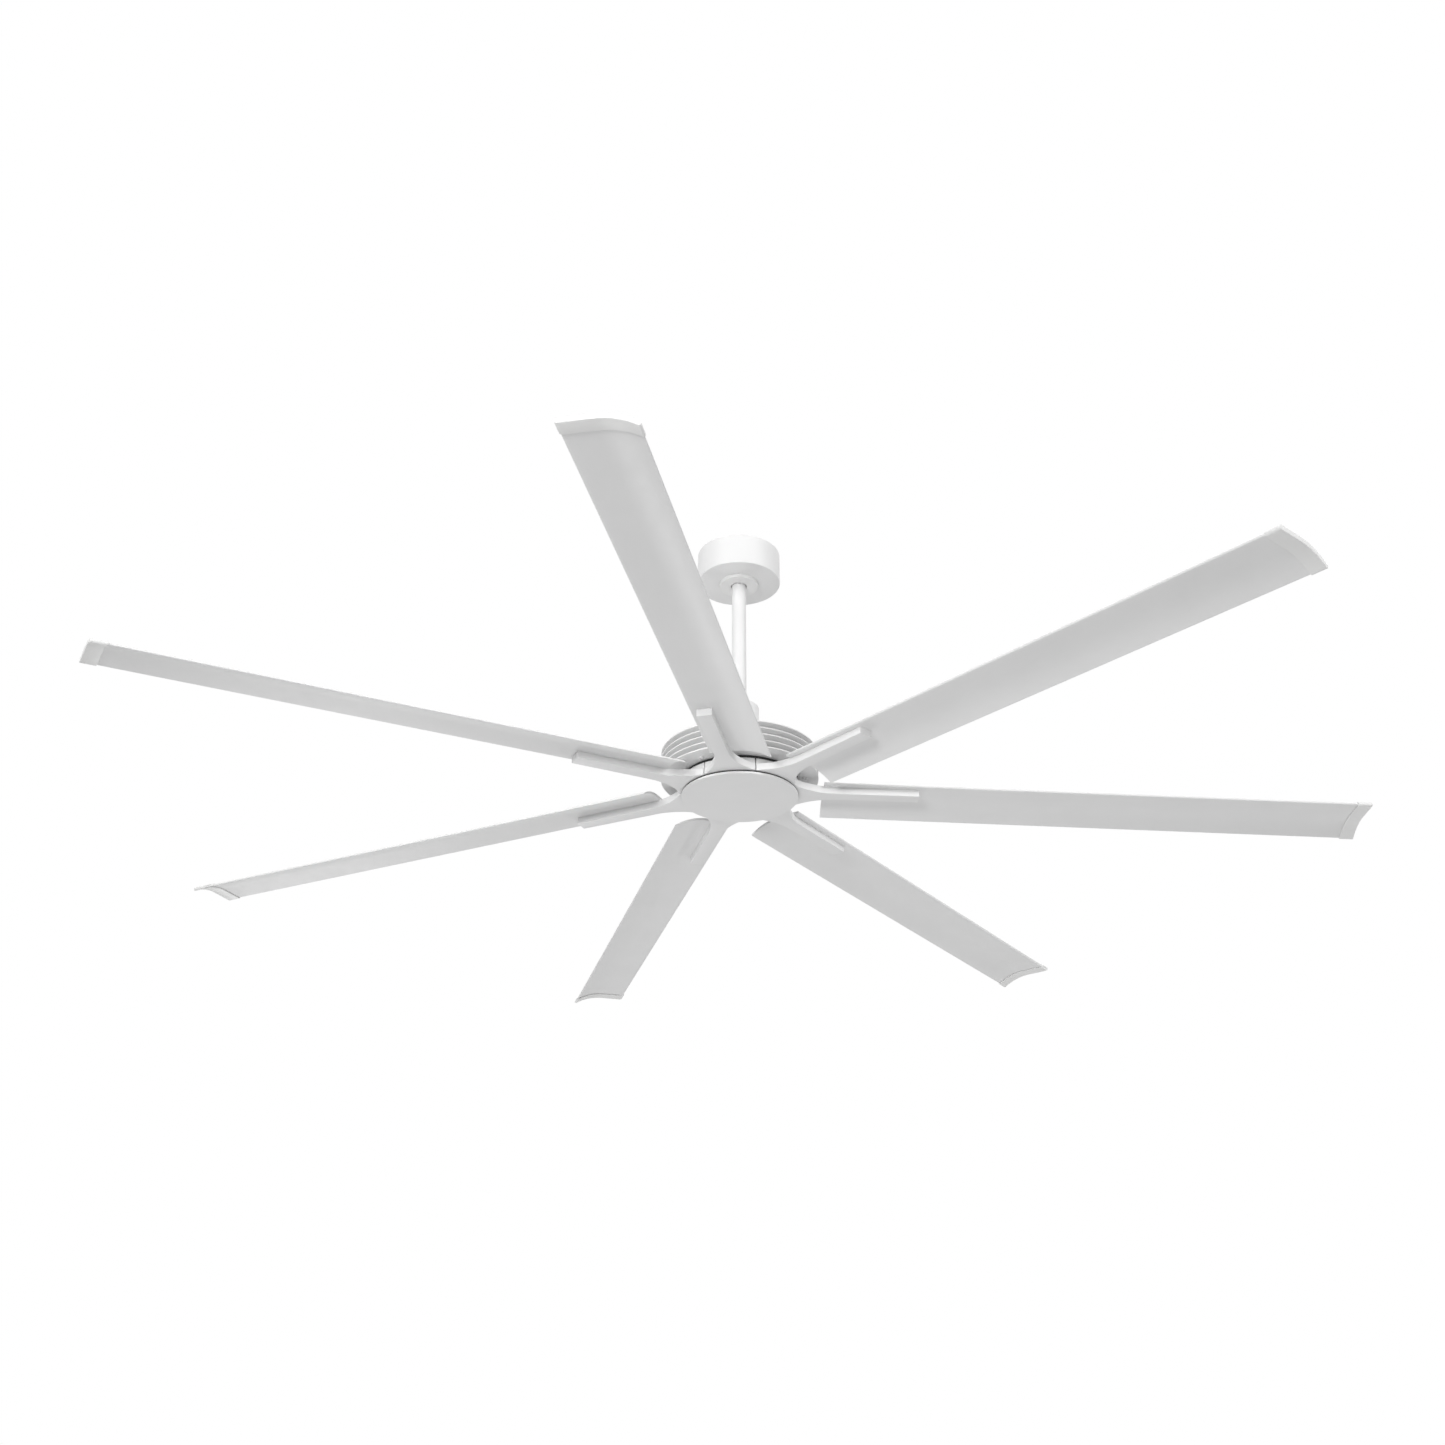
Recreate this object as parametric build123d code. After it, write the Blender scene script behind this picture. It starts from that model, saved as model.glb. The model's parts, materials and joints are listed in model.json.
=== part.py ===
from build123d import *
from math import asin, cos, radians, sin, sqrt, tan
import os

os.makedirs("parts", exist_ok=True)

# Seven-blade ceiling fan with a finned motor, in millimetres, Z up.
# The origin is on the fan axis in the ceiling plane, and everything hangs below it.

# Clearances
fit_gap = 0.05
bearing_gap = 0.02
seat_gap = 0.3
running_gap = 1.0
cut_overrun = 2.0

# Hanger bracket of pressed steel, with two slots for the ceiling box screws
bracket_radius = 60.0
bracket_sheet = 2.5
bracket_slot_spacing = 89.0
bracket_slot_width = 6.0
bracket_slot_length = 14.0
bracket_wire_hole_radius = 10.0
cradle_half_depth = 31.0
cradle_side_gap = 8.0
cradle_bend_share = 0.8
cradle_rod_gap = 1.0
ball_drop = 30.5

# Hanger ball, its cross pin and its set screw
ball_radius = 26.0
ball_lip = 3.5
ball_top_rise = 12.0
ball_bottom_drop = 18.0
ball_pin_radius = 3.0
ball_pin_end_gap = 3.0
ball_screw_radius = 2.5
ball_screw_length = 9.0
ball_screw_drop = 4.0

# Downrod, a steel tube
rod_radius = 12.5
rod_wall = 2.0
rod_length = 367.0
rod_above_ball = 3.5

# Canopy over the bracket, with the ring that covers its screws
canopy_radius = 73.4
canopy_height = 57.0
canopy_wall = 1.5
canopy_round = 1.4
canopy_screw_radius = 2.0
canopy_screw_head_radius = 3.5
canopy_screw_head_height = 2.4
canopy_screw_offset = 6.0
canopy_screw_reach = 1.0
trim_radius = 35.0
trim_depth = 6.0
trim_wall = 1.5
trim_taper = 0.8
trim_round = 0.7
trim_rod_gap = 1.5
trim_bead = 0.8
trim_bead_height = 1.6
trim_collar_rise = 2.4

# Receiver and motor driver, a potted module beside the cradle
receiver_width = 60.0
receiver_depth = 25.0
receiver_height = 36.0
receiver_ear = 8.0
receiver_ear_thickness = 2.5
receiver_cradle_gap = 2.0
receiver_round = 2.0
receiver_screw_radius = 1.5
receiver_screw_head_radius = 2.8
receiver_screw_head_height = 1.8

# Motor yoke, which clamps the rod to the motor
yoke_flange_radius = 30.0
yoke_flange_thickness = 7.0
yoke_socket_radius = 20.0
yoke_socket_height = 65.0
yoke_wire_hole_radius = 8.0
yoke_edge_chamfer = 1.5
yoke_bolt_count = 4
yoke_bolt_circle = 25.0
yoke_bolt_radius = 2.5
yoke_bolt_head_radius = 4.2
yoke_bolt_head_height = 4.0
yoke_bolt_depth = 7.5
rod_pin_height = 30.0
rod_pin_radius = 3.2
rod_pin_overhang = 5.5
rod_pin_head_radius = 5.0
rod_pin_head_height = 2.0
clip_wire_radius = 0.9
clip_ring_radius = 3.0
clip_overhang = 1.6
yoke_screw_height = 50.0
yoke_screw_radius = 3.0
yoke_screw_head_radius = 4.6
yoke_screw_head_height = 4.0

# Coupling cover, the sleeve round the yoke
cover_radius = 33.8
cover_height = 84.0
cover_wall = 2.0
cover_chamfer = 4.0
cover_rod_gap = 1.0

# Motor housing, a casting with round cooling fins
housing_height = 54.5
housing_roof = 5.0
core_radius = 114.0
core_wall = 8.0
core_round = 3.0
fin_count = 4
fin_radius = 133.0
fin_thickness = 2.0
fin_pitch = 11.4
stator_ledge = 2.0
boss_wall = 5.0

# Bottom plate of the motor
plate_rim_thickness = 2.0
plate_thickness = 4.0
plate_seat_step = 0.5
plate_screw_count = 3
plate_screw_first_angle = -125.1
plate_screw_radius = 2.0
plate_screw_length = 12.0
plate_screw_head_radius = 3.8
plate_screw_head_height = 2.6

# Ball bearings, 20 by 47 by 14
bearing_bore_radius = 10.0
bearing_radius = 23.5
bearing_width = 14.0
bearing_pitch_radius = 16.75
bearing_ball_radius = 3.95
bearing_ball_count = 8
bearing_land = 2.4
upper_bearing_rise = 29.0

# Stator, a toothed stack with a coil on each tooth
stator_bottom_rise = 10.5
stack_height = 24.0
stator_ring_width = 10.0
tooth_count = 18
tooth_width = 9.0
shoe_thickness = 3.5
shoe_opening = 4.0
air_gap = 1.0
coil_thickness = 5.0
coil_overhang = 5.5
coil_gap = 0.2
coil_round = 2.5
coil_end_gap = 1.5

# Rotor
magnet_count = 20
magnet_thickness = 4.0
magnet_spacing = 2.4
drum_wall = 9.0
rotor_radius = 77.0
web_thickness = 5.0
web_hole_count = 6
web_hole_radius = 9.0
hub_radius = 22.0
hub_spacer_radius = 14.0
hub_end_gap = 1.5
shaft_end_gap = 1.0
shaft_collar_radius = 13.0
shaft_journal_radius = 8.0
shaft_tail = 13.0
shaft_chamfer = 0.8
flange_radius = 98.8
flange_thickness = 3.8
nut_width = 24.0
nut_thickness = 10.0

# Blade brackets: sectors of one ring, each with its arm
blade_count = 7
first_blade_angle = -100.17
ring_radius = 98.8
ring_height = 22.1
ring_bore_radius = 48.0
ring_seam = 2.0
arm_width = 24.0
arm_shift = -1.0
arm_end_radius = 301.2
arm_root_radius = 100.0
arm_root_height = 12.0
arm_end_drop = 3.5
arm_flare_radius = 100.0
arm_ramp_gap = 4.0
bracket_bolt_circle = 80.0
bracket_bolt_angle = 13.0
bracket_bolt_radius = 3.0
bracket_bolt_head_radius = 5.0
bracket_bolt_head_height = 4.0
bracket_bolt_recess = 4.5
bracket_bolt_side_gap = 0.75

# Blades, an extrusion that is flat in front and curved behind
blade_tip_radius = 1066.0
blade_root_radius = 141.0
blade_droop = 1.469
blade_rise = 15.6
blade_lead = 23.8
blade_flat = 20.0
blade_thickness = 4.5
blade_trail_thickness = 2.0
camber_radius = 103.4
camber_angle = 32.7
blade_screw_radii = (165.0, 225.0, 285.0)
blade_screw_radius = 2.5
blade_screw_head_radius = 4.4
blade_screw_head_height = 2.8
blade_screw_depth = 5.0

# Tip caps
cap_length = 23.9
cap_stand = 1.7
cap_grip = 16.0
cap_gap = 0.3

# Round cover under the blade brackets
disc_radius = 98.3
disc_thickness = 3.6
disc_gap = 2.6
disc_chamfer = 0.5
disc_rib_radius = 90.0
disc_rib_width = 3.0
finger_count = 6
finger_wall = 2.0
finger_height = 10.4
finger_slot = 8.0
finger_bead = 0.9
finger_bead_height = 2.0
seal_radius = 97.5
seal_width = 6.9

# Screw heads
head_round_share = 0.5
socket_share = 0.5
socket_depth_share = 0.5

# Heights, worked out downwards from the ceiling
ball_z = -ball_drop
ball_hole_radius = ball_radius - ball_lip
cradle_top = ball_z - sqrt((ball_radius + fit_gap) ** 2 - ball_hole_radius**2)
cradle_bottom = cradle_top - bracket_sheet
canopy_bottom = -canopy_height
canopy_floor = canopy_bottom + canopy_wall
rod_top = ball_z + ball_top_rise + rod_above_ball
rod_bottom = rod_top - rod_length
motor_top = rod_bottom - yoke_flange_thickness
housing_bottom = motor_top - housing_height
plate_bottom = housing_bottom - plate_rim_thickness
bearing_seat = plate_bottom + plate_thickness - plate_seat_step
upper_bearing_bottom = bearing_seat + upper_bearing_rise
upper_bearing_top = upper_bearing_bottom + bearing_width
stack_bottom = plate_bottom + stator_bottom_rise
stack_top = stack_bottom + stack_height
flange_top = plate_bottom - running_gap
ring_top = flange_top - flange_thickness
ring_bottom = ring_top - ring_height
disc_top = ring_bottom - disc_gap
disc_bottom = disc_top - disc_thickness

# Places and radii that more than one piece follows
cradle_inner = ball_radius + cradle_side_gap
canopy_screw_x = ball_hole_radius + canopy_screw_offset
trim_rod_radius = rod_radius + trim_rod_gap
trim_collar_radius = trim_rod_radius + trim_wall
receiver_front = cradle_half_depth + receiver_cradle_gap
receiver_screw_x = (receiver_width + receiver_ear) / 2
receiver_screw_y = receiver_front + receiver_depth / 2
ball_pin_z = ball_z + ball_top_rise - ball_pin_radius
rod_pin_z = rod_bottom + rod_pin_height
yoke_screw_z = rod_bottom + yoke_screw_height
clip_x = yoke_socket_radius + clip_overhang + clip_wire_radius
core_inner = core_radius - core_wall
plate_screw_circle = core_radius - core_wall / 2
passage_radius = bearing_pitch_radius - bearing_ball_radius + bearing_land + seat_gap
inner_land_radius = bearing_pitch_radius - bearing_land
outer_land_radius = bearing_pitch_radius + bearing_land
boss_radius = bearing_radius + boss_wall
stator_bore = rotor_radius + air_gap
magnet_inner = rotor_radius - magnet_thickness
drum_inner = magnet_inner - drum_wall
tip_start = blade_tip_radius - cap_length
blade_end = tip_start + cap_grip
arm_near_side = arm_shift - arm_width / 2
arm_far_side = arm_shift + arm_width / 2


# Shared shapes
def disc(radius, bottom, top):
    upward = (Align.CENTER, Align.CENTER, Align.MIN)
    return Pos(0, 0, bottom) * Cylinder(radius, top - bottom, align=upward)


def ring(outer, inner, bottom, top):
    return disc(outer, bottom, top) - disc(inner, bottom - cut_overrun, top + cut_overrun)


def block(x_low, x_high, y_low, y_high, z_low, z_high):
    corner = (Align.MIN, Align.MIN, Align.MIN)
    size = Box(x_high - x_low, y_high - y_low, z_high - z_low, align=corner)
    return Pos(x_low, y_low, z_low) * size


def turned(*points):
    return revolve(Plane.XZ * Polygon(*points, align=None), Axis.Z)


def bar(radius, start, end):
    along = Vector(*end) - Vector(*start)
    return Solid.make_cylinder(radius, along.length, Plane(origin=start, z_dir=along))


def largest_circle(edges):
    return edges.filter_by(GeomType.CIRCLE).sort_by(SortBy.RADIUS)[-1]


def socket_screw(shank_radius, shank_length, head_radius, head_height):
    # The head stands up from zero and the shank goes down.
    head = disc(head_radius, 0, head_height)
    rim = largest_circle(head.edges().group_by(Axis.Z)[-1])
    head = fillet(rim, head_height * head_round_share)
    depth = head_height * socket_depth_share
    socket = extrude(RegularPolygon(head_radius * socket_share, 6), cut_overrun + depth)
    head -= Pos(0, 0, head_height - depth) * socket
    return head + disc(shank_radius, -shank_length, 0)


def around(shape, count, first_angle=0.0):
    return [Rot(0, 0, first_angle + step * 360 / count) * shape for step in range(count)]


def joined(shapes):
    return shapes[0].fuse(*shapes[1:])


def group(shapes):
    return Compound([solid for shape in shapes for solid in shape.solids()])


# Ceiling mount
def hanger_bracket():
    plate = disc(bracket_radius, -bracket_sheet, 0)
    outside = cradle_inner + bracket_sheet
    depth = cradle_half_depth
    cradle = block(-outside, outside, -depth, depth, cradle_bottom, -bracket_sheet)
    bends = cradle.edges().filter_by(Axis.Y).group_by(Axis.Z)[0]
    cradle = fillet(bends, bracket_sheet * cradle_bend_share)
    depth += cut_overrun
    cradle -= block(-cradle_inner, cradle_inner, -depth, depth, cradle_top, -bracket_sheet)
    lower = cradle_bottom - cut_overrun
    cradle -= disc(ball_hole_radius, lower, cradle_top + cut_overrun)
    rod_slot = rod_radius + cradle_rod_gap
    cradle -= block(-rod_slot, rod_slot, -depth, 0, lower, cradle_top + cut_overrun)
    for side in (-1, 1):
        screw_hole = disc(canopy_screw_radius + fit_gap, lower, cradle_top + cut_overrun)
        cradle -= Pos(side * canopy_screw_x, 0, 0) * screw_hole
    through = bracket_sheet + 2 * cut_overrun
    slot = extrude(SlotOverall(bracket_slot_length, bracket_slot_width), through)
    slot = Pos(0, 0, -bracket_sheet - cut_overrun) * slot
    receiver_hole = disc(receiver_screw_radius + fit_gap, -bracket_sheet - cut_overrun, cut_overrun)
    for side in (-1, 1):
        plate -= Pos(side * bracket_slot_spacing / 2, 0, 0) * slot
        plate -= Pos(side * receiver_screw_x, receiver_screw_y, 0) * receiver_hole
    plate -= disc(bracket_wire_hole_radius, -bracket_sheet - cut_overrun, cut_overrun)
    return plate + cradle


def canopy():
    shell = disc(canopy_radius, canopy_bottom, 0)
    rim = largest_circle(shell.edges().group_by(Axis.Z)[0])
    shell = fillet(rim, min(canopy_round, canopy_wall - fit_gap))
    shell -= disc(canopy_radius - canopy_wall, canopy_floor, cut_overrun)
    lower = canopy_bottom - cut_overrun
    upper = canopy_floor + cut_overrun
    shell -= disc(trim_collar_radius + seat_gap, lower, upper)
    for side in (-1, 1):
        hole = disc(canopy_screw_radius + seat_gap, lower, upper)
        shell -= Pos(side * canopy_screw_x, 0, 0) * hole
    return shell


def canopy_trim():
    bottom = canopy_bottom - trim_depth
    floor = bottom + trim_wall
    foot_radius = trim_radius - trim_taper
    bead_bottom = canopy_floor + fit_gap
    bead_middle = bead_bottom + trim_bead_height / 2
    collar_top = canopy_floor + trim_collar_rise
    trim = turned(
        (trim_radius, canopy_bottom),
        (foot_radius, bottom),
        (trim_rod_radius, bottom),
        (trim_rod_radius, collar_top),
        (trim_collar_radius, collar_top),
        (trim_collar_radius + trim_bead, bead_middle),
        (trim_collar_radius, bead_bottom),
        (trim_collar_radius, floor),
        (foot_radius - trim_wall, floor),
        (trim_radius - trim_wall, canopy_bottom),
    )
    rim = largest_circle(trim.edges().group_by(Axis.Z)[0])
    return fillet(rim, trim_round)


def canopy_screws():
    length = cradle_top + canopy_screw_reach - canopy_bottom
    head_radius = canopy_screw_head_radius
    screw = socket_screw(canopy_screw_radius, length, head_radius, canopy_screw_head_height)
    screw = Pos(0, 0, canopy_bottom) * Rot(180, 0, 0) * screw
    return group([Pos(side * canopy_screw_x, 0, 0) * screw for side in (-1, 1)])


def receiver_module():
    top = -bracket_sheet
    half = receiver_width / 2
    back = receiver_front + receiver_depth
    case = block(-half, half, receiver_front, back, top - receiver_height, top)
    case = fillet(case.edges().filter_by(Axis.Z), receiver_round)
    ear_half_depth = receiver_ear / 2
    ear_low = receiver_screw_y - ear_half_depth
    ear_high = receiver_screw_y + ear_half_depth
    reach = half + receiver_ear
    case += block(-reach, reach, ear_low, ear_high, top - receiver_ear_thickness, top)
    lower = top - receiver_ear_thickness - cut_overrun
    for side in (-1, 1):
        hole = disc(receiver_screw_radius + fit_gap, lower, top + cut_overrun)
        case -= Pos(side * receiver_screw_x, receiver_screw_y, 0) * hole
    return case


def receiver_screws():
    length = receiver_ear_thickness + bracket_sheet
    head_radius = receiver_screw_head_radius
    screw = socket_screw(receiver_screw_radius, length, head_radius, receiver_screw_head_height)
    screw = Pos(0, receiver_screw_y, -length) * Rot(180, 0, 0) * screw
    return group([Pos(side * receiver_screw_x, 0, 0) * screw for side in (-1, 1)])


# Hanging frame
def hanger_ball():
    ball = Pos(0, 0, ball_z) * Sphere(ball_radius)
    top = ball_z + ball_top_rise
    bottom = ball_z - ball_bottom_drop
    outside = ball_radius + cut_overrun
    ball -= disc(outside, top, ball_z + outside)
    ball -= disc(outside, ball_z - outside, bottom)
    ball -= disc(rod_radius + fit_gap, bottom - cut_overrun, top + cut_overrun)
    groove = ball_pin_radius + fit_gap
    ball -= bar(groove, (-outside, 0, ball_pin_z), (outside, 0, ball_pin_z))
    ball -= block(-outside, outside, -groove, groove, ball_pin_z, top + cut_overrun)
    screw_z = ball_z - ball_screw_drop
    ball -= bar(ball_screw_radius + fit_gap, (0, 0, screw_z), (0, -outside, screw_z))
    return ball


def ball_pin():
    half = sqrt(ball_radius**2 - ball_top_rise**2) - ball_pin_end_gap
    return bar(ball_pin_radius, (-half, 0, ball_pin_z), (half, 0, ball_pin_z))


def ball_set_screw():
    screw_z = ball_z - ball_screw_drop
    outer = rod_radius + ball_screw_length
    screw = bar(ball_screw_radius, (0, -rod_radius, screw_z), (0, -outer, screw_z))
    depth = ball_screw_radius
    socket = extrude(RegularPolygon(ball_screw_radius * socket_share, 6), depth + cut_overrun)
    return screw - Pos(0, depth - outer, screw_z) * Rot(90, 0, 0) * socket


def downrod():
    rod = ring(rod_radius, rod_radius - rod_wall, rod_bottom, rod_top)
    reach = rod_radius + cut_overrun
    for height, radius in ((ball_pin_z, ball_pin_radius), (rod_pin_z, rod_pin_radius)):
        rod -= bar(radius + fit_gap, (-reach, 0, height), (reach, 0, height))
    return rod


def motor_yoke():
    socket_top = rod_bottom + yoke_socket_height
    flange = disc(yoke_flange_radius, motor_top, rod_bottom)
    flange = chamfer(largest_circle(flange.edges().group_by(Axis.Z)[-1]), yoke_edge_chamfer)
    socket = disc(yoke_socket_radius, rod_bottom, socket_top)
    socket = chamfer(largest_circle(socket.edges().group_by(Axis.Z)[-1]), yoke_edge_chamfer)
    yoke = flange + socket
    yoke -= disc(rod_radius + fit_gap, rod_bottom, socket_top + cut_overrun)
    yoke -= disc(yoke_wire_hole_radius, motor_top - cut_overrun, rod_bottom + cut_overrun)
    hole = disc(yoke_bolt_radius + fit_gap, motor_top - cut_overrun, rod_bottom + cut_overrun)
    for bolt_hole in around(Pos(yoke_bolt_circle, 0, 0) * hole, yoke_bolt_count, 45.0):
        yoke -= bolt_hole
    reach = yoke_socket_radius + cut_overrun
    yoke -= bar(rod_pin_radius + fit_gap, (-reach, 0, rod_pin_z), (reach, 0, rod_pin_z))
    yoke -= bar(yoke_screw_radius + fit_gap, (0, -reach, yoke_screw_z), (0, reach, yoke_screw_z))
    return yoke


def yoke_bolts():
    length = yoke_flange_thickness + yoke_bolt_depth
    bolt = socket_screw(yoke_bolt_radius, length, yoke_bolt_head_radius, yoke_bolt_head_height)
    bolt = Pos(yoke_bolt_circle, 0, rod_bottom) * bolt
    return group(around(bolt, yoke_bolt_count, 45.0))


def rod_pin():
    end = yoke_socket_radius + rod_pin_overhang
    head = -yoke_socket_radius - rod_pin_head_height
    pin = bar(rod_pin_radius, (-yoke_socket_radius, 0, rod_pin_z), (end, 0, rod_pin_z))
    pin += bar(rod_pin_head_radius, (head, 0, rod_pin_z), (-yoke_socket_radius, 0, rod_pin_z))
    reach = rod_pin_radius + cut_overrun
    low = (clip_x, 0, rod_pin_z - reach)
    high = (clip_x, 0, rod_pin_z + reach)
    return pin - bar(clip_wire_radius + fit_gap, low, high)


def rod_pin_clip():
    reach = rod_pin_radius + clip_ring_radius
    low = (clip_x, 0, rod_pin_z - reach)
    high = (clip_x, 0, rod_pin_z + reach)
    leg = bar(clip_wire_radius, low, high)
    eye = Rot(0, 90, 0) * Torus(clip_ring_radius, clip_wire_radius)
    return leg + Pos(clip_x, 0, rod_pin_z - reach - clip_ring_radius) * eye


def yoke_set_screws():
    length = yoke_socket_radius - rod_radius
    head_radius = yoke_screw_head_radius
    screw = socket_screw(yoke_screw_radius, length, head_radius, yoke_screw_head_height)
    screws = []
    for turn in (-90, 90):
        screws.append(Rot(turn, 0, 0) * Pos(0, 0, yoke_socket_radius) * screw)
    return group([Pos(0, 0, yoke_screw_z) * screw for screw in screws])


def coupling_cover():
    top = motor_top + cover_height
    inside = cover_radius - cover_wall
    bevel_drop = cover_chamfer - cover_wall * tan(radians(22.5))
    hole = rod_radius + cover_rod_gap
    return turned(
        (inside, motor_top),
        (cover_radius, motor_top),
        (cover_radius, top - cover_chamfer),
        (cover_radius - cover_chamfer, top),
        (hole, top),
        (hole, top - cover_wall),
        (inside - bevel_drop, top - cover_wall),
        (inside, top - cover_wall - bevel_drop),
    )


def motor_housing():
    housing = disc(core_radius, housing_bottom, motor_top)
    rim = largest_circle(housing.edges().group_by(Axis.Z)[-1])
    housing = fillet(rim, core_round)
    for step in range(fin_count):
        bottom = plate_bottom + (step + 1) * fin_pitch
        housing += disc(fin_radius, bottom, bottom + fin_thickness)
    roof_bottom = motor_top - housing_roof
    housing -= disc(core_inner, housing_bottom - cut_overrun, stack_top)
    housing -= disc(core_inner - stator_ledge, housing_bottom - cut_overrun, roof_bottom)
    housing += disc(boss_radius, upper_bearing_bottom, motor_top)
    housing -= disc(passage_radius, upper_bearing_bottom - cut_overrun, motor_top + cut_overrun)
    seat_radius = bearing_radius + bearing_gap
    housing -= disc(seat_radius, upper_bearing_bottom - cut_overrun, upper_bearing_top)
    hole = disc(yoke_bolt_radius + fit_gap, motor_top - yoke_bolt_depth, motor_top + cut_overrun)
    for bolt_hole in around(Pos(yoke_bolt_circle, 0, 0) * hole, yoke_bolt_count, 45.0):
        housing -= bolt_hole
    screw_top = plate_bottom + plate_screw_length
    hole = disc(plate_screw_radius + fit_gap, housing_bottom - cut_overrun, screw_top)
    hole = Pos(plate_screw_circle, 0, 0) * hole
    for screw_hole in around(hole, plate_screw_count, plate_screw_first_angle):
        housing -= screw_hole
    return housing


def housing_bottom_plate():
    plate = disc(fin_radius, plate_bottom, housing_bottom)
    plate += disc(core_inner - seat_gap, plate_bottom, plate_bottom + plate_thickness)
    plate += disc(boss_radius, plate_bottom, bearing_seat + bearing_width)
    upper = bearing_seat + bearing_width + cut_overrun
    plate -= disc(bearing_radius + bearing_gap, bearing_seat, upper)
    plate -= disc(passage_radius, plate_bottom - cut_overrun, upper)
    hole = disc(plate_screw_radius + fit_gap, plate_bottom - cut_overrun, upper)
    hole = Pos(plate_screw_circle, 0, 0) * hole
    for screw_hole in around(hole, plate_screw_count, plate_screw_first_angle):
        plate -= screw_hole
    return plate


def plate_screws():
    head_radius = plate_screw_head_radius
    head_height = plate_screw_head_height
    screw = socket_screw(plate_screw_radius, plate_screw_length, head_radius, head_height)
    screw = Pos(plate_screw_circle, 0, plate_bottom) * Rot(180, 0, 0) * screw
    return group(around(screw, plate_screw_count, plate_screw_first_angle))


def bearing_race(outer, inner, bottom):
    race = ring(outer, inner, bottom, bottom + bearing_width)
    groove = Torus(bearing_pitch_radius, bearing_ball_radius + fit_gap)
    return race - Pos(0, 0, bottom + bearing_width / 2) * groove


def bearing_balls(bottom):
    middle = bottom + bearing_width / 2
    ball = Pos(bearing_pitch_radius, 0, middle) * Sphere(bearing_ball_radius)
    return group(around(ball, bearing_ball_count))


def stator_core():
    outer = core_inner - fit_gap
    ring_inner = outer - stator_ring_width
    stack = ring(outer, ring_inner, stack_bottom, stack_top)
    shoes = ring(stator_bore + shoe_thickness, stator_bore, stack_bottom, stack_top)
    half_opening = shoe_opening / 2
    opening = block(0, ring_inner, -half_opening, half_opening, stack_bottom, stack_top)
    half_tooth = tooth_width / 2
    shoe_middle = stator_bore + shoe_thickness / 2
    ring_middle = outer - stator_ring_width / 2
    tooth = block(shoe_middle, ring_middle, -half_tooth, half_tooth, stack_bottom, stack_top)
    for cutter in around(opening, tooth_count, 180 / tooth_count):
        shoes -= cutter
    return joined([stack, shoes] + around(tooth, tooth_count))


def stator_coils():
    start = stator_bore + shoe_thickness + coil_end_gap
    end = core_inner - fit_gap - stator_ring_width - coil_end_gap
    half = tooth_width / 2 + coil_thickness
    low = stack_bottom - coil_overhang
    high = stack_top + coil_overhang
    coil = block(start, end, -half, half, low, high)
    coil = fillet(coil.edges().filter_by(Axis.X), coil_round)
    half = tooth_width / 2 + coil_gap
    low = stack_bottom - coil_gap
    high = stack_top + coil_gap
    coil -= block(start - cut_overrun, end + cut_overrun, -half, half, low, high)
    return group(around(coil, tooth_count))


# Rotor
def motor_shaft():
    top = upper_bearing_top + shaft_end_gap
    tail = ring_top - shaft_tail
    shaft = disc(bearing_bore_radius, bearing_seat, top)
    shaft = chamfer(largest_circle(shaft.edges().group_by(Axis.Z)[-1]), shaft_chamfer)
    journal = disc(shaft_journal_radius, tail, flange_top)
    journal = chamfer(largest_circle(journal.edges().group_by(Axis.Z)[0]), shaft_chamfer)
    return shaft + disc(shaft_collar_radius, flange_top, bearing_seat) + journal


def rotor_drum():
    lower = bearing_seat + bearing_width
    upper = upper_bearing_bottom
    middle = (stack_bottom + stack_top) / 2
    drum = ring(magnet_inner - fit_gap, drum_inner, stack_bottom, stack_top)
    drum += disc(drum_inner, middle - web_thickness / 2, middle + web_thickness / 2)
    drum += disc(hub_radius, lower + hub_end_gap, upper - hub_end_gap)
    drum += disc(hub_spacer_radius, lower, upper)
    drum -= disc(bearing_bore_radius + bearing_gap, lower - cut_overrun, upper + cut_overrun)
    hole = disc(web_hole_radius, stack_bottom, stack_top)
    hole = Pos((hub_radius + drum_inner) / 2, 0, 0) * hole
    for web_hole in around(hole, web_hole_count):
        drum -= web_hole
    return drum


def rotor_magnets():
    magnets = ring(rotor_radius, magnet_inner, stack_bottom, stack_top)
    half = magnet_spacing / 2
    low = stack_bottom - cut_overrun
    high = stack_top + cut_overrun
    gap = block(0, rotor_radius + cut_overrun, -half, half, low, high)
    for cutter in around(gap, magnet_count):
        magnets -= cutter
    return group([magnets])


def rotor_flange():
    flange = disc(flange_radius, ring_top, flange_top)
    lower = ring_top - cut_overrun
    upper = flange_top + cut_overrun
    flange -= disc(shaft_journal_radius + fit_gap, lower, upper)
    hole = disc(bracket_bolt_radius + fit_gap, lower, upper)
    for place in bracket_bolt_places():
        flange -= place * hole
    return flange


def shaft_nut():
    nut = extrude(RegularPolygon(nut_width / 2, 6, major_radius=False), nut_thickness)
    nut = Pos(0, 0, ring_top - nut_thickness) * nut
    lower = ring_top - nut_thickness - cut_overrun
    return nut - disc(shaft_journal_radius + fit_gap, lower, ring_top + cut_overrun)


# Blade brackets and blades are drawn along X and then turned to their places.
def blade_turn(index):
    return Rot(0, 0, first_blade_angle + index * 360 / blade_count)


def drooped(shape):
    return Pos(0, 0, ring_bottom) * Rot(0, blade_droop, 0) * shape


def blade_underside(distance):
    slope = radians(blade_droop)
    return ring_bottom + blade_rise / cos(slope) - distance * tan(slope)


def sector_bolt_places():
    places = []
    for side in (-1, 1):
        places.append(Rot(0, 0, side * bracket_bolt_angle) * Pos(bracket_bolt_circle, 0, 0))
    return places


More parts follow.
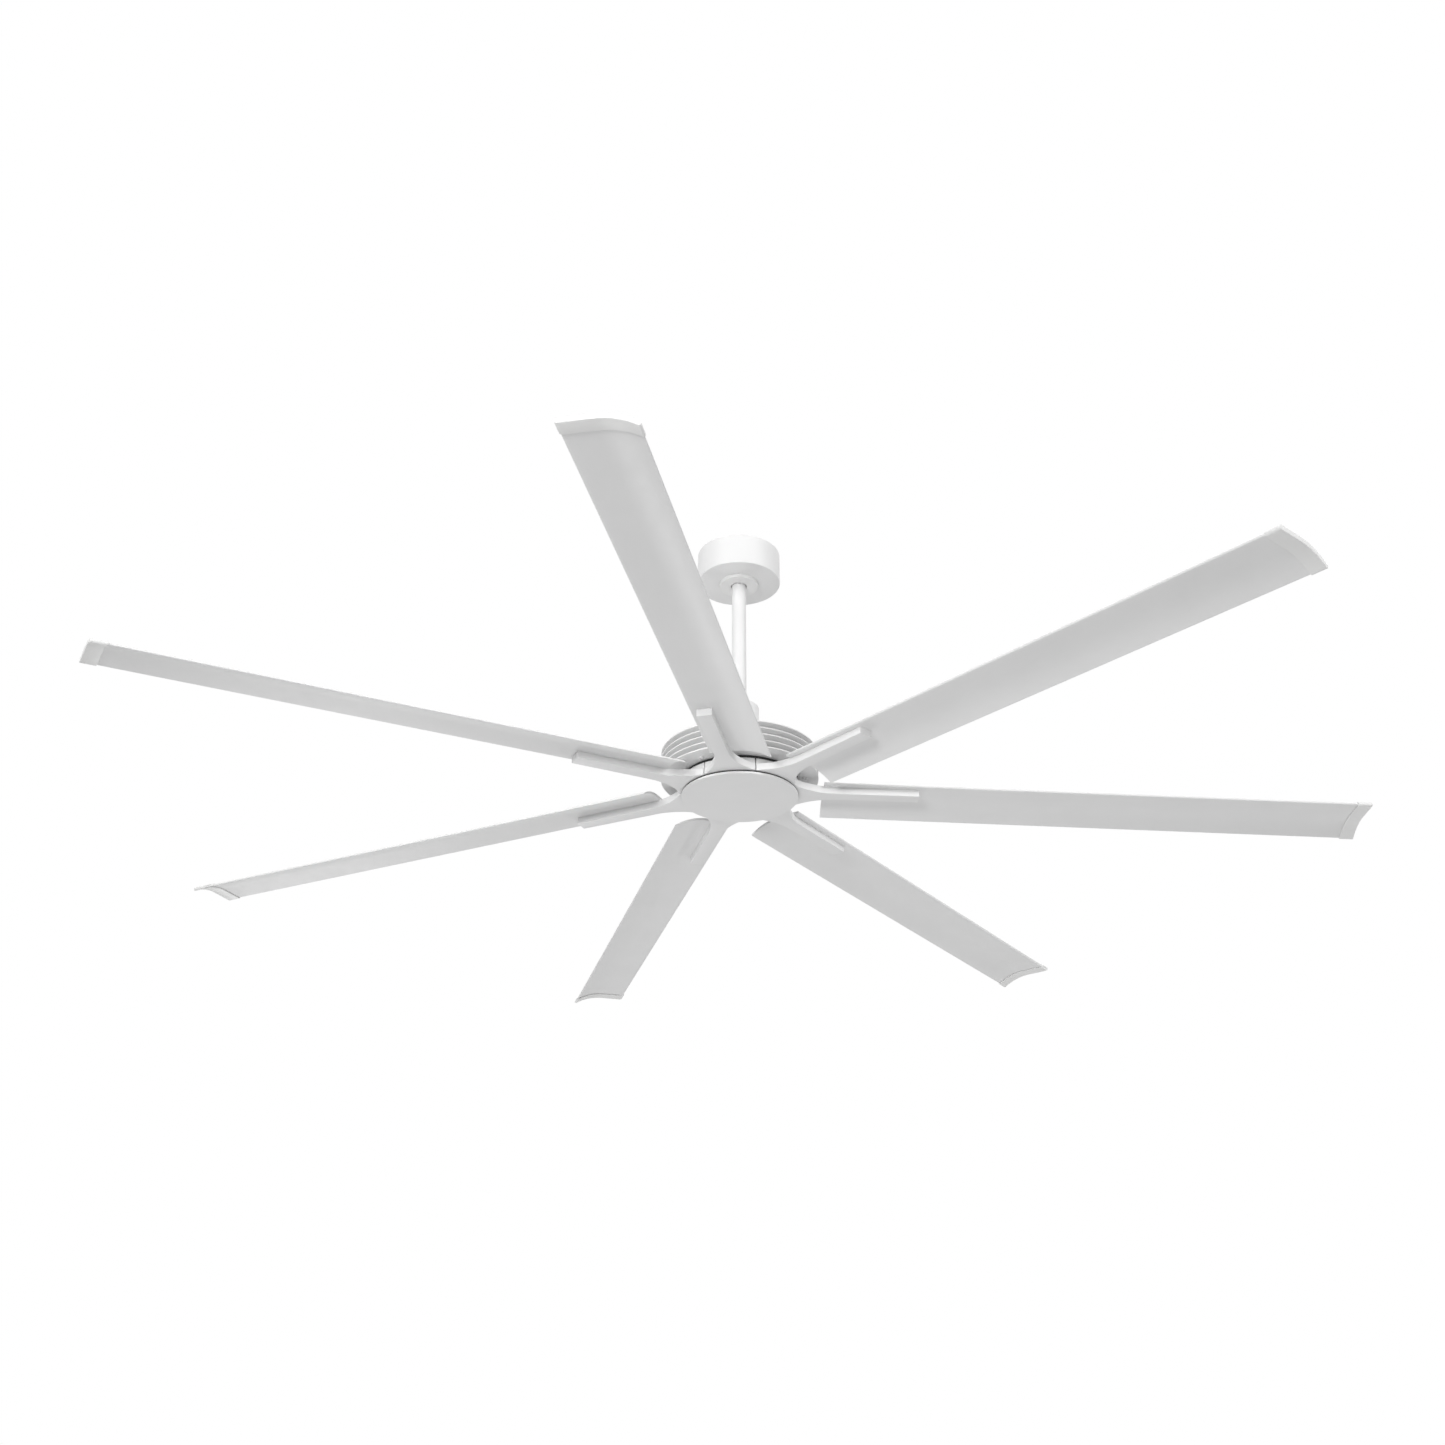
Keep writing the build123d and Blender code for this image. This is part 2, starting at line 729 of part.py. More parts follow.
def bracket_bolt_places():
    indexes = range(blade_count)
    return [blade_turn(index) * place for index in indexes for place in sector_bolt_places()]


def seam_point(radius, side):
    # A corner of a sector, half a seam away from the plane between two neighbours.
    half_angle = radians(180 / blade_count)
    half_seam = ring_seam / 2
    along = sqrt(radius**2 - half_seam**2)
    x = along * cos(half_angle) + half_seam * sin(half_angle)
    y = along * sin(half_angle) - half_seam * cos(half_angle)
    return Vector(x, side * y)


def flare(side_y):
    # The arc of the concave flare: its corner at the seam, its middle and the arm side.
    side = 1 if side_y > 0 else -1
    corner = seam_point(arm_root_radius, side)
    centre_y = side_y + side * arm_flare_radius
    reach = corner.X + sqrt(arm_flare_radius**2 - (corner.Y - centre_y) ** 2)
    centre = Vector(reach, centre_y)
    on_arm = Vector(reach, side_y)
    inward = (corner + on_arm) / 2 - centre
    middle = centre + inward * (arm_flare_radius / inward.length)
    return corner, middle, on_arm


def arm_plan():
    apex = ring_seam / 2 / sin(radians(180 / blade_count))
    far_root, far_middle, far_arm = flare(arm_far_side)
    near_root, near_middle, near_arm = flare(arm_near_side)
    outline = [
        ThreePointArc(far_root, far_middle, far_arm),
        Line(far_arm, (arm_end_radius, arm_far_side)),
        Line((arm_end_radius, arm_far_side), (arm_end_radius, arm_near_side)),
        Line((arm_end_radius, arm_near_side), near_arm),
        ThreePointArc(near_arm, near_middle, near_root),
        Line(near_root, (apex, 0)),
        Line((apex, 0), far_root),
    ]
    return make_face(outline)


def arm_profile():
    # Seen from the side: level under the ring, then falling a little with the blade.
    ramp_start = ring_radius + arm_ramp_gap
    ramp_end = blade_root_radius - arm_ramp_gap
    root_top = ring_bottom + arm_root_height
    return Polygon(
        (ring_bore_radius, ring_bottom),
        (ramp_start, ring_bottom),
        (arm_end_radius, ring_bottom - arm_end_drop),
        (arm_end_radius, blade_underside(arm_end_radius)),
        (ramp_end, blade_underside(ramp_end)),
        (ramp_start, root_top),
        (ring_bore_radius, root_top),
        align=None,
    )


def blade_bracket():
    half_angle = radians(180 / blade_count)
    apex = ring_seam / 2 / sin(half_angle)
    far_x = apex + 2 * ring_radius * cos(half_angle)
    far_y = 2 * ring_radius * sin(half_angle)
    outline = Polygon((apex, 0), (far_x, -far_y), (far_x, far_y), align=None)
    wedge = extrude(outline, ring_height, dir=(0, 0, 1))
    sector = ring(ring_radius, ring_bore_radius, ring_bottom, ring_top)
    sector &= Pos(0, 0, ring_bottom) * wedge
    arm_low = ring_bottom - arm_end_drop
    arm = Pos(0, 0, arm_low) * extrude(arm_plan(), ring_height, dir=(0, 0, 1))
    arm &= extrude(Plane.XZ * arm_profile(), ring_radius, both=True)
    bracket = sector + arm
    bead_top = disc_top + finger_height - seat_gap
    groove_low = bead_top - finger_bead_height - 2 * seat_gap
    groove_high = bead_top + seat_gap
    bracket -= disc(ring_bore_radius + finger_bead, groove_low, groove_high)
    lower = ring_bottom - cut_overrun
    recess_radius = bracket_bolt_head_radius + bracket_bolt_side_gap
    recess = disc(recess_radius, lower, ring_bottom + bracket_bolt_recess)
    hole = recess + disc(bracket_bolt_radius + fit_gap, lower, ring_top + cut_overrun)
    for place in sector_bolt_places():
        bracket -= place * hole
    top = blade_rise + cut_overrun
    for distance in blade_screw_radii:
        hole = disc(blade_screw_radius + fit_gap, blade_rise - blade_screw_depth, top)
        bracket -= drooped(Pos(distance, arm_shift, 0) * hole)
    return bracket


def bracket_bolts():
    length = ring_top - ring_bottom - bracket_bolt_recess + flange_thickness
    head_radius = bracket_bolt_head_radius
    bolt = socket_screw(bracket_bolt_radius, length, head_radius, bracket_bolt_head_height)
    bolt = Pos(0, 0, ring_bottom + bracket_bolt_recess) * Rot(180, 0, 0) * bolt
    return group([place * bolt for place in bracket_bolt_places()])


def arc_point(centre, radius, angle):
    return centre + Vector(sin(angle), cos(angle)) * radius


def blade_section(stand):
    # Flat from the rounded leading edge, then curved down to the thin trailing edge.
    low = blade_rise - stand
    high = blade_rise + blade_thickness + stand
    nose = blade_thickness / 2 - blade_lead
    nose_tip = (-blade_lead - stand, blade_rise + blade_thickness / 2)
    sweep = radians(camber_angle)
    under_centre = Vector(blade_flat, blade_rise - camber_radius)
    under_radius = camber_radius - stand
    top_edge = arc_point(under_centre, camber_radius + blade_trail_thickness, sweep)
    across = top_edge.X - blade_flat
    drop = blade_rise + blade_thickness - top_edge.Y
    upper_radius = (across**2 + drop**2) / (2 * drop)
    upper_sweep = asin(across / upper_radius)
    upper_centre = Vector(blade_flat, blade_rise + blade_thickness - upper_radius)
    upper_radius += stand
    low_end = arc_point(under_centre, under_radius, sweep)
    high_end = arc_point(upper_centre, upper_radius, upper_sweep)
    edge = high_end - low_end
    tail_tip = (low_end + high_end) / 2 + Vector(edge.Y, -edge.X) / 2
    outline = [
        Line((nose, low), (blade_flat, low)),
        ThreePointArc((blade_flat, low), arc_point(under_centre, under_radius, sweep / 2), low_end),
        ThreePointArc(low_end, tail_tip, high_end),
        ThreePointArc(
            high_end, arc_point(upper_centre, upper_radius, upper_sweep / 2), (blade_flat, high)
        ),
        Line((blade_flat, high), (nose, high)),
        ThreePointArc((nose, high), nose_tip, (nose, low)),
    ]
    return make_face(outline)


def section_bar(stand, start, end):
    return extrude(Plane.YZ.offset(start) * blade_section(stand), end - start, dir=(1, 0, 0))


def blade():
    bar_shape = section_bar(0, blade_root_radius, blade_end)
    top = blade_rise + blade_thickness + cut_overrun
    for distance in blade_screw_radii:
        hole = disc(blade_screw_radius + fit_gap, blade_rise - cut_overrun, top)
        bar_shape -= Pos(distance, arm_shift, 0) * hole
    return drooped(bar_shape)


def tip_cap():
    cap = section_bar(cap_stand, tip_start, blade_tip_radius)
    cap -= section_bar(cap_gap, tip_start - cut_overrun, blade_end + cap_gap)
    return drooped(cap)


def blade_screws():
    length = blade_thickness + blade_screw_depth
    head_radius = blade_screw_head_radius
    screw = socket_screw(blade_screw_radius, length, head_radius, blade_screw_head_height)
    top = blade_rise + blade_thickness
    row = [drooped(Pos(distance, arm_shift, top) * screw) for distance in blade_screw_radii]
    return group([blade_turn(index) * part for index in range(blade_count) for part in row])


def cover_disc():
    plate = disc(disc_radius, disc_bottom, disc_top)
    plate = chamfer(largest_circle(plate.edges().group_by(Axis.Z)[0]), disc_chamfer)
    rib_inner = disc_rib_radius - disc_rib_width
    plate += ring(disc_rib_radius, rib_inner, disc_top, ring_bottom)
    top = disc_top + finger_height
    outer = ring_bore_radius - seat_gap
    bead_top = top - seat_gap
    bead_low = bead_top - finger_bead_height
    collar = turned(
        (outer - finger_wall, disc_top),
        (outer, disc_top),
        (outer, bead_low),
        (outer + finger_bead, (bead_low + bead_top) / 2),
        (outer, bead_top),
        (outer, top),
        (outer - finger_wall, top),
    )
    half_slot = finger_slot / 2
    slot = block(0, ring_bore_radius + finger_bead, -half_slot, half_slot, disc_top, top)
    for cutter in around(slot, finger_count):
        collar -= cutter
    return plate + collar


def cover_seal():
    return ring(seal_radius, seal_radius - seal_width, disc_top, ring_bottom)


nodes = {
    "hanger_bracket": hanger_bracket(),
    "canopy": canopy(),
    "canopy_trim": canopy_trim(),
    "canopy_screws": canopy_screws(),
    "receiver_module": receiver_module(),
    "receiver_screws": receiver_screws(),
    "hanger_ball": hanger_ball(),
    "ball_pin": ball_pin(),
    "ball_set_screw": ball_set_screw(),
    "downrod": downrod(),
    "motor_yoke": motor_yoke(),
    "yoke_bolts": yoke_bolts(),
    "rod_pin": rod_pin(),
    "rod_pin_clip": rod_pin_clip(),
    "yoke_set_screws": yoke_set_screws(),
    "coupling_cover": coupling_cover(),
    "motor_housing": motor_housing(),
    "housing_bottom_plate": housing_bottom_plate(),
    "plate_screws": plate_screws(),
    "stator_core": stator_core(),
    "stator_coils": stator_coils(),
    "motor_shaft": motor_shaft(),
    "rotor_drum": rotor_drum(),
    "rotor_magnets": rotor_magnets(),
    "rotor_flange": rotor_flange(),
    "shaft_nut": shaft_nut(),
    "bracket_bolts": bracket_bolts(),
    "blade_screws": blade_screws(),
    "cover_disc": cover_disc(),
    "cover_seal": cover_seal(),
}
for name, bottom in (("lower", bearing_seat), ("upper", upper_bearing_bottom)):
    inner_bore = bearing_bore_radius + bearing_gap
    nodes[name + "_bearing_outer_race"] = bearing_race(bearing_radius, outer_land_radius, bottom)
    nodes[name + "_bearing_inner_race"] = bearing_race(inner_land_radius, inner_bore, bottom)
    nodes[name + "_bearing_balls"] = bearing_balls(bottom)

one_bracket = blade_bracket()
one_blade = blade()
one_cap = tip_cap()
for index in range(blade_count):
    number = str(index + 1)
    nodes["blade_bracket_" + number] = blade_turn(index) * one_bracket
    nodes["blade_" + number] = blade_turn(index) * one_blade
    nodes["tip_cap_" + number] = blade_turn(index) * one_cap

for name, shape in nodes.items():
    export_step(shape, "parts/" + name + ".step")
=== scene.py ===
import json
import math

import bmesh
import bpy
from mathutils import Matrix, Vector


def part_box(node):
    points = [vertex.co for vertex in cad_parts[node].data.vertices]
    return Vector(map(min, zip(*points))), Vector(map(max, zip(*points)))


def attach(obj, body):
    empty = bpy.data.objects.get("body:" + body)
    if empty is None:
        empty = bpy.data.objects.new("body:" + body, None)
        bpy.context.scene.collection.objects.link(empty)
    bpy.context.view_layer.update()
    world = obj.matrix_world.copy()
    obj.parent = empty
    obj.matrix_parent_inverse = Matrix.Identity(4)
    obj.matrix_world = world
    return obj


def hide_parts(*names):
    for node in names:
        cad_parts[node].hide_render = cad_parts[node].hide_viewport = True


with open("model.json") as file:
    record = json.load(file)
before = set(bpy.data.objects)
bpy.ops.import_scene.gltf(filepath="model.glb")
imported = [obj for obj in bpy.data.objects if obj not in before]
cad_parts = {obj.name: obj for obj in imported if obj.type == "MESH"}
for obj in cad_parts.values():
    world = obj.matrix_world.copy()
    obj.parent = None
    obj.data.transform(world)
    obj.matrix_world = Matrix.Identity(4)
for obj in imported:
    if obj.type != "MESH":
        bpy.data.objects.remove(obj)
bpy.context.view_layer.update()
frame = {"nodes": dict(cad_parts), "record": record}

# Sizes of the blades and caps, in metres, that the frame doesn't give
blade_count = 7
first_blade_angle = math.radians(-100.17)
blade_droop = math.radians(1.469)
blade_root_radius = 0.141
blade_tip_radius = 1.066
blade_rise = 0.0156
blade_lead = 0.0238
blade_flat = 0.020
blade_thickness = 0.0045
blade_trail_thickness = 0.002
blade_end_round = 0.0005
camber_radius = 0.1034
camber_angle = math.radians(32.7)
cap_length = 0.0239
cap_stand = 0.0017
cap_grip = 0.016
cap_gap = 0.0003
cap_mouth_round = 0.00035
cap_tip_round = 0.0008

# Sizes of the ring and its arms
ring_radius = 0.0988
ring_bore_radius = 0.048
ring_seam = 0.0020
arm_shift = -0.001
arm_width = 0.024
arm_end_radius = 0.3012
arm_root_radius = 0.100
arm_root_height = 0.0120
arm_end_drop = 0.0035
arm_flare_radius = 0.100
arm_ramp_gap = 0.004
bracket_round = 0.0003

# Sizes of the motor housing
core_radius = 0.114
core_wall = 0.008
core_top_round = 0.003
fin_thickness = 0.002
fin_pitch = 0.0114
fin_count = 4
fin_edge_share = 0.3
fin_root_round = 0.0012
housing_roof = 0.005
passage_radius = 0.0155

# Sizes of the canopy, its trim ring and the coupling cover
sheet_wall = 0.0015
canopy_hole_radius = 0.0158
canopy_edge_round = 0.0016
trim_gap = 0.0015
trim_taper = 0.0008
trim_bead = 0.0008
trim_seat_round = 0.0002
trim_foot_round = 0.0012
cover_wall = 0.002
cover_gap = 0.001
cover_chamfer = 0.004
cover_bend_round = 0.0035
bore_round = 0.0004
rim_round = 0.0003

# Fineness of the meshes
same_place = 1e-7
sharp_angle = math.radians(30)
bevel_angle = math.radians(40)
lathe_steps = 256
flare_steps = 24
rim_steps = 18
bore_steps = 10
camber_steps = 24
nose_steps = 10
tail_steps = 8
flat_steps = 6
end_steps = 3
span_steps = 24

# Heights and radii from the frame
mount_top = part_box("hanger_bracket")[1].z
canopy_low, canopy_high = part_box("canopy")
trim_low, trim_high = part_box("canopy_trim")
cover_low, cover_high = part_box("coupling_cover")
housing_low, housing_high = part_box("motor_housing")
rod_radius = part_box("downrod")[1].x
plate_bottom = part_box("housing_bottom_plate")[0].z
flange_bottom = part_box("rotor_flange")[0].z
ring_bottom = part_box("blade_bracket_1")[0].z + arm_end_drop
ramp_start = ring_radius + arm_ramp_gap
ramp_end = blade_root_radius - arm_ramp_gap


# Outlines
def rounded(corners, steps=4):
    # Corners are (x, y, radius); each that has a radius becomes an arc.
    outline = []
    for index, (x, y, radius) in enumerate(corners):
        here = Vector((x, y))
        if not radius:
            outline.append(here)
            continue
        back = Vector(corners[index - 1][:2]) - here
        on = Vector(corners[(index + 1) % len(corners)][:2]) - here
        half = back.angle(on) / 2
        reach = min(radius / math.tan(half), back.length / 2, on.length / 2)
        small = reach * math.tan(half)
        middle = (back.normalized() + on.normalized()).normalized()
        centre = here + middle * (small / math.sin(half))
        start = here + back.normalized() * reach - centre
        turn = math.pi - 2 * half
        if back.x * on.y - back.y * on.x > 0:
            turn = -turn
        for step in range(steps + 1):
            angle = turn * step / steps
            cosine, sine = math.cos(angle), math.sin(angle)
            arm = Vector((start.x * cosine - start.y * sine, start.x * sine + start.y * cosine))
            outline.append(centre + arm)
    return outline


def arc(centre, radius, start, end, steps):
    # Angles are measured from +Y towards +X.
    points = []
    for step in range(steps + 1):
        angle = start + (end - start) * step / steps
        points.append(centre + Vector((math.sin(angle), math.cos(angle))) * radius)
    return points


# Meshes
def finished(name, work, material, body, slot, *nodes):
    bmesh.ops.remove_doubles(work, verts=work.verts, dist=same_place)
    bmesh.ops.recalc_face_normals(work, faces=work.faces)
    mesh = bpy.data.meshes.new(name)
    work.to_mesh(mesh)
    work.free()
    mesh.polygons.foreach_set("use_smooth", [True] * len(mesh.polygons))
    mesh.set_sharp_from_angle(angle=sharp_angle)
    piece = bpy.data.objects.new(name, mesh)
    bpy.context.scene.collection.objects.link(piece)
    mesh.materials.append(material)
    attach(piece, body)
    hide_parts(*nodes)
    return piece


def bridge(work, loops, closed=False):
    # Neighbouring loops are joined by quads, or by triangles where one of them is a pole.
    pairs = list(zip(loops, loops[1:]))
    if closed:
        pairs.append((loops[-1], loops[0]))
    for lower, upper in pairs:
        count = max(len(lower), len(upper))
        for index in range(count):
            following = (index + 1) % count
            if len(lower) == 1:
                work.faces.new((lower[0], upper[following], upper[index]))
            elif len(upper) == 1:
                work.faces.new((lower[index], lower[following], upper[0]))
            else:
                work.faces.new((lower[index], lower[following], upper[following], upper[index]))


def lathe(name, corners, material, body, slot, *nodes):
    # Corners are (radius, height, round); a corner at radius zero is a pole.
    work = bmesh.new()
    loops = []
    for point in rounded(corners):
        if point.x < same_place:
            loops.append([work.verts.new((0, 0, point.y))])
            continue
        loop = []
        for step in range(lathe_steps):
            angle = 2 * math.pi * step / lathe_steps
            place = (point.x * math.cos(angle), point.x * math.sin(angle), point.y)
            loop.append(work.verts.new(place))
        loops.append(loop)
    bridge(work, loops, closed=corners[0][0] > 0)
    return finished(name, work, material, body, slot, *nodes)


# Parts of a material
def shader(name, roughness, metallic=0.0):
    material = bpy.data.materials.new(name)
    material.use_nodes = True
    principled = material.node_tree.nodes["Principled BSDF"]
    principled.inputs["Metallic"].default_value = metallic
    principled.inputs["Roughness"].default_value = roughness
    return material, material.node_tree, principled


def noise(tree, scale, detail=3.0, stretch=(1, 1, 1)):
    place = tree.nodes.new("ShaderNodeTexCoord")
    mapping = tree.nodes.new("ShaderNodeMapping")
    mapping.inputs["Scale"].default_value = stretch
    texture = tree.nodes.new("ShaderNodeTexNoise")
    texture.inputs["Scale"].default_value = scale
    texture.inputs["Detail"].default_value = detail
    tree.links.new(place.outputs["Object"], mapping.inputs["Vector"])
    tree.links.new(mapping.outputs["Vector"], texture.inputs["Vector"])
    return texture.outputs["Fac"]


def ramp(tree, source, stops):
    node = tree.nodes.new("ShaderNodeValToRGB")
    node.color_ramp.elements[0].position = stops[0][0]
    node.color_ramp.elements[0].color = (*stops[0][1], 1)
    node.color_ramp.elements[1].position = stops[-1][0]
    node.color_ramp.elements[1].color = (*stops[-1][1], 1)
    for position, colour in stops[1:-1]:
        node.color_ramp.elements.new(position).color = (*colour, 1)
    tree.links.new(source, node.inputs["Fac"])
    return node.outputs["Color"]


def spread(tree, source, low, high):
    node = tree.nodes.new("ShaderNodeMapRange")
    node.inputs["To Min"].default_value = low
    node.inputs["To Max"].default_value = high
    tree.links.new(source, node.inputs["Value"])
    return node.outputs["Result"]


def bump(tree, principled, source, strength, distance):
    node = tree.nodes.new("ShaderNodeBump")
    node.inputs["Strength"].default_value = strength
    node.inputs["Distance"].default_value = distance
    tree.links.new(source, node.inputs["Height"])
    tree.links.new(node.outputs["Normal"], principled.inputs["Normal"])


# Kinds of material
ramp_low = 0.3
ramp_middle = 0.5
ramp_high = 0.7
cloud_scale = 9.0
gloss_scale = 55.0
gloss_swing = 0.05
coat_relief = 0.0002
metal_dark_share = 0.86
metal_gloss_fall = 0.08
metal_gloss_rise = 0.1
metal_depth = 0.15
metal_relief = 0.0001


def coat(name, colour, roughness, grain, depth, variation=0.012):
    # Paint or moulded plastic: a faint cloud in colour and gloss over a fine texture.
    material, tree, principled = shader(name, roughness)
    cloud = noise(tree, cloud_scale, detail=4.0)
    dark = [max(channel - variation, 0) for channel in colour]
    light = [min(channel + variation, 1) for channel in colour]
    shade = ramp(tree, cloud, [(ramp_low, dark), (ramp_middle, colour), (ramp_high, light)])
    tree.links.new(shade, principled.inputs["Base Color"])
    patches = noise(tree, gloss_scale, detail=2.0)
    gloss = spread(tree, patches, roughness - gloss_swing, roughness + gloss_swing)
    tree.links.new(gloss, principled.inputs["Roughness"])
    bump(tree, principled, noise(tree, grain, detail=2.0), depth, coat_relief)
    return material


def metal(name, colour, roughness, grain, stretch=(1, 1, 1)):
    # Bare metal with a fine directional grain.
    material, tree, principled = shader(name, roughness, metallic=1.0)
    lines = noise(tree, grain, detail=5.0, stretch=stretch)
    dark = [channel * metal_dark_share for channel in colour]
    shade = ramp(tree, lines, [(ramp_low, dark), (ramp_high, colour)])
    tree.links.new(shade, principled.inputs["Base Color"])
    gloss = spread(tree, lines, roughness - metal_gloss_fall, roughness + metal_gloss_rise)
    tree.links.new(gloss, principled.inputs["Roughness"])
    bump(tree, principled, lines, metal_depth, metal_relief)
    return material


# Materials
powder_coat = coat(
    "powder_coat_white", (0.80, 0.80, 0.80), roughness=0.48, grain=1400.0, depth=0.04
)
blade_coat = coat(
    "blade_coat_white", (0.79, 0.79, 0.79), roughness=0.50, grain=1800.0, depth=0.02
)
white_plastic = coat(
    "moulded_plastic_white", (0.82, 0.82, 0.815), roughness=0.46, grain=2400.0, depth=0.02
)
screw_paint = coat(
    "screw_paint_white", (0.74, 0.74, 0.74), roughness=0.38, grain=2600.0, depth=0.03
)
black_paint = coat(
    "flange_paint_black", (0.018, 0.018, 0.019), roughness=0.55, grain=1500.0, depth=0.12,
    variation=0.004,
)
black_nylon = coat(
    "nylon_black", (0.03, 0.03, 0.031), roughness=0.5, grain=1200.0, depth=0.15, variation=0.006
)
grey_case = coat(
    "case_plastic_grey", (0.16, 0.165, 0.17), roughness=0.55, grain=900.0, depth=0.2,
    variation=0.01,
)
zinc = metal("zinc_plated_steel", (0.66, 0.67, 0.68), roughness=0.36, grain=420.0)
polished = metal("bearing_steel", (0.72, 0.73, 0.75), roughness=0.2, grain=900.0)
laminated = metal(
    "lamination_steel", (0.4, 0.41, 0.42), roughness=0.5, grain=260.0, stretch=(1, 1, 24)
)
ferrite = coat(
    "magnet_ferrite", (0.05, 0.05, 0.052), roughness=0.6, grain=700.0, depth=0.2, variation=0.008
)
copper = metal(
    "enamelled_copper", (0.72, 0.34, 0.18), roughness=0.32, grain=380.0, stretch=(1, 1, 18)
)
by_slot = {
    "white_powder_coat": powder_coat,
    "white_blade_coat": blade_coat,
    "white_plastic": white_plastic,
    "white_screw_paint": screw_paint,
    "black_flange_paint": black_paint,
    "zinc_steel": zinc,
    "bearing_steel": polished,
    "lamination_steel": laminated,
    "magnet_ferrite": ferrite,
    "copper_wire": copper,
    "black_nylon": black_nylon,
    "grey_potting_case": grey_case,
}


def dress_nodes():
    # The nodes that no piece of this script replaces show with these materials.
    for part in frame["record"]["subparts"]:
        node = frame["nodes"][part["node"]]
        node.data.materials.clear()
        node.data.materials.append(by_slot[part["material_slot"]])
        node.data.set_sharp_from_angle(angle=sharp_angle)


# Ceiling mount
def build_canopy():
    outer = canopy_high.x
    inner = outer - sheet_wall
    floor = canopy_low.z + sheet_wall
    corners = [
        (outer, mount_top, rim_round),
        (outer, canopy_low.z, canopy_edge_round),
        (canopy_hole_radius, canopy_low.z, 0),
        (canopy_hole_radius, floor, 0),
        (inner, floor, canopy_edge_round / 2),
        (inner, mount_top, rim_round),
    ]
    lathe("canopy_shell", corners, powder_coat, "ceiling_mount", "white_powder_coat", "canopy")


def build_trim():
    outer = trim_high.x
    foot = outer - trim_taper
    hole = rod_radius + trim_gap
    collar = hole + sheet_wall
    floor = trim_low.z + sheet_wall
    canopy_floor = canopy_low.z + sheet_wall
    corners = [
        (outer, canopy_low.z, trim_seat_round),
        (foot, trim_low.z, trim_foot_round),
        (hole, trim_low.z, trim_foot_round / 2),
        (hole, trim_high.z, rim_round),
        (collar, trim_high.z, rim_round),
        (collar + trim_bead, canopy_floor + trim_bead, rim_round),
        (collar, canopy_floor, 0),
        (collar, floor, 0),
        (foot - sheet_wall, floor, 0),
        (outer - sheet_wall, canopy_low.z, 0),
    ]
    lathe("canopy_ring", corners, white_plastic, "ceiling_mount", "white_plastic", "canopy_trim")


# Hanging frame
def build_coupling_cover():
    outer = cover_high.x
    inner = outer - cover_wall
    top = cover_high.z
    hole = rod_radius + cover_gap
    half_bend = math.radians(45) / 2
    bevel = cover_chamfer - cover_wall * math.tan(half_bend)
    corners = [
        (inner, cover_low.z, 0),
        (outer, cover_low.z, rim_round),
        (outer, top - cover_chamfer, cover_bend_round),
        (outer - cover_chamfer, top, cover_bend_round),
        (hole, top, bore_round),
        (hole, top - cover_wall, 0),
        (inner - bevel, top - cover_wall, 0),
        (inner, top - cover_wall - bevel, 0),
    ]
    lathe(
        "rod_cover", corners, powder_coat, "hanging_frame", "white_powder_coat", "coupling_cover"
    )


def build_housing():
    fin_radius = housing_high.x
    fin_edge = fin_thickness * fin_edge_share
    inner = core_radius - core_wall
    top = housing_high.z
    corners = [(core_radius, housing_low.z, 0)]
    for step in range(fin_count):
        low = plate_bottom + (step + 1) * fin_pitch
        corners.append((core_radius, low, fin_root_round))
        corners.append((fin_radius, low, fin_edge))
        corners.append((fin_radius, low + fin_thickness, fin_edge))
        corners.append((core_radius, low + fin_thickness, fin_root_round))
    corners.append((core_radius, top, core_top_round))
    corners.append((passage_radius, top, bore_round))
    corners.append((passage_radius, top - housing_roof, 0))
    corners.append((inner, top - housing_roof, 0))
    corners.append((inner, housing_low.z, 0))
    lathe(
        "finned_housing", corners, powder_coat, "hanging_frame", "white_powder_coat",
        "motor_housing",
    )


# Blade brackets and blades are drawn along X and then turned to their places.
def blade_turn(index):
    return Matrix.Rotation(first_blade_angle + index * 2 * math.pi / blade_count, 4, "Z")


def drooped():
    lift = Matrix.Translation((0, 0, ring_bottom))
    return lift @ Matrix.Rotation(blade_droop, 4, "Y")


def blade_underside(distance):
    level = blade_rise / math.cos(blade_droop) - distance * math.tan(blade_droop)
    return ring_bottom + level


def on_seam(radius, side):
    # The point at this radius on the sector's edge along the seam, on side 1 or -1.
    half = math.pi / blade_count
    along = math.sqrt(radius**2 - (ring_seam / 2) ** 2)
    x = along * math.cos(half) + ring_seam / 2 * math.sin(half)
    y = along * math.sin(half) - ring_seam / 2 * math.cos(half)
    return Vector((x, side * y))


def flare(side_y):
    # The wide concave flare from a corner at the seam to an arm side.
    side = 1 if side_y > 0 else -1
    corner = on_seam(arm_root_radius, side)
    centre_y = side_y + side * arm_flare_radius
    reach = corner.x + math.sqrt(arm_flare_radius**2 - (corner.y - centre_y) ** 2)
    centre = Vector((reach, centre_y))
    first = math.atan2(corner.x - centre.x, corner.y - centre.y)
    last = 0.0
    if side > 0:
        first += 2 * math.pi
        last = math.pi
    return arc(centre, arm_flare_radius, first, last, flare_steps)


def ring_arc(start, end, steps):
    # Points from start to end along the circle about the axis that both lie on.
    radius = start.length
    first = math.atan2(start.y, start.x)
    last = math.atan2(end.y, end.x)
    points = []
    for step in range(steps + 1):
        angle = first + (last - first) * step / steps
        points.append(Vector((radius * math.cos(angle), radius * math.sin(angle))))
    return points


